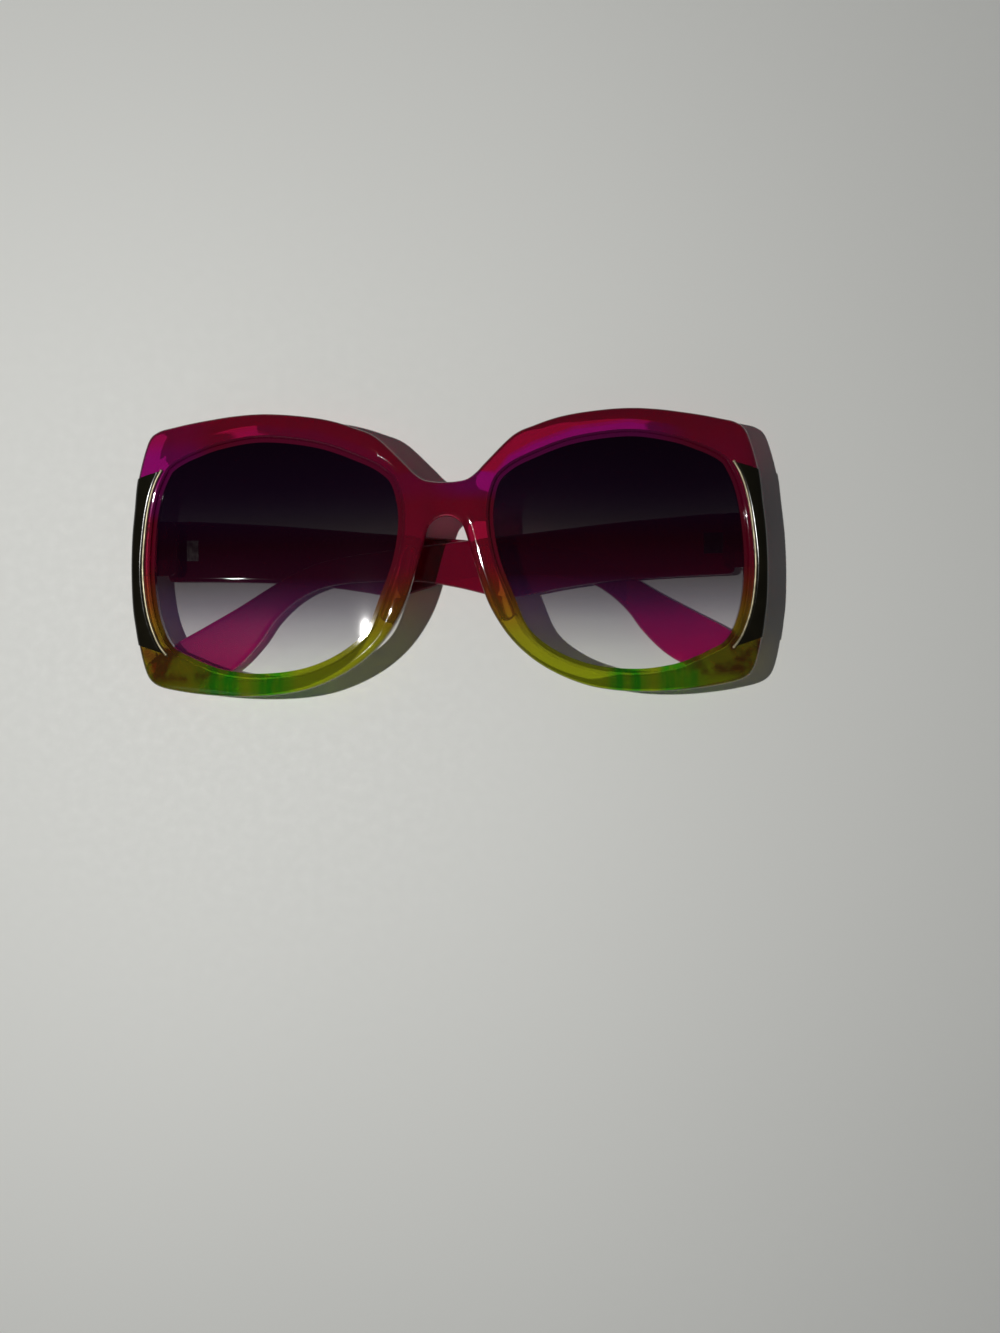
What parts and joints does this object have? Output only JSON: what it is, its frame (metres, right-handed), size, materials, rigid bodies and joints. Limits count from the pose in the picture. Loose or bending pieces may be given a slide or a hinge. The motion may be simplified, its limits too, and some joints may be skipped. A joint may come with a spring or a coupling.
{
  "type": "oversized square sunglasses",
  "caption": "Oversized square sunglasses with a moulded colour-graded front, gradient lenses, dark side inlays and wide folding temples on knuckle hinges.",
  "frame": {"origin": "centre of the bounding box at its base, the table under the folded temples", "axes": "+X towards the wearer's left, +Y up the wearer's face, +Z out of the front of the lenses"},
  "size_m": [0.1518, 0.0664, 0.0235],
  "materials": {
    "frame_plastic": "polished, translucent, colour graded from raspberry to yellow-green",
    "temple_plastic": "polished, translucent raspberry",
    "lens_plastic": "polished, dark at the top and nearly clear at the bottom",
    "trim_plastic": "gloss, opaque",
    "wire_metal": "bright, pale",
    "hinge_metal": "worn nickel",
    "screw_metal": "turned"
  },
  "bodies": {
    "front": {"front_frame": "frame_plastic", "left_lens": "lens_plastic", "right_lens": "lens_plastic", "left_side_trim": "trim_plastic", "right_side_trim": "trim_plastic", "left_trim_wire": "wire_metal", "right_trim_wire": "wire_metal", "left_front_leaf": "hinge_metal", "right_front_leaf": "hinge_metal", "left_hinge_screw": "screw_metal", "right_hinge_screw": "screw_metal"},
    "left_arm": {"left_temple": "temple_plastic", "left_temple_leaf": "hinge_metal"},
    "right_arm": {"right_temple": "temple_plastic", "right_temple_leaf": "hinge_metal"}
  },
  "joints": [
    {"name": "left_temple_hinge", "type": "hinge", "parent": "front", "child": "left_arm", "pos_m": [0.06833, 0.0028, 0.0079], "axis": [0, -1, 0], "range_deg": [0, 90]},
    {"name": "right_temple_hinge", "type": "hinge", "parent": "front", "child": "right_arm", "pos_m": [-0.06803, 0.0028, 0.0046], "axis": [0, 1, 0], "range_deg": [0, 87]}
  ]
}
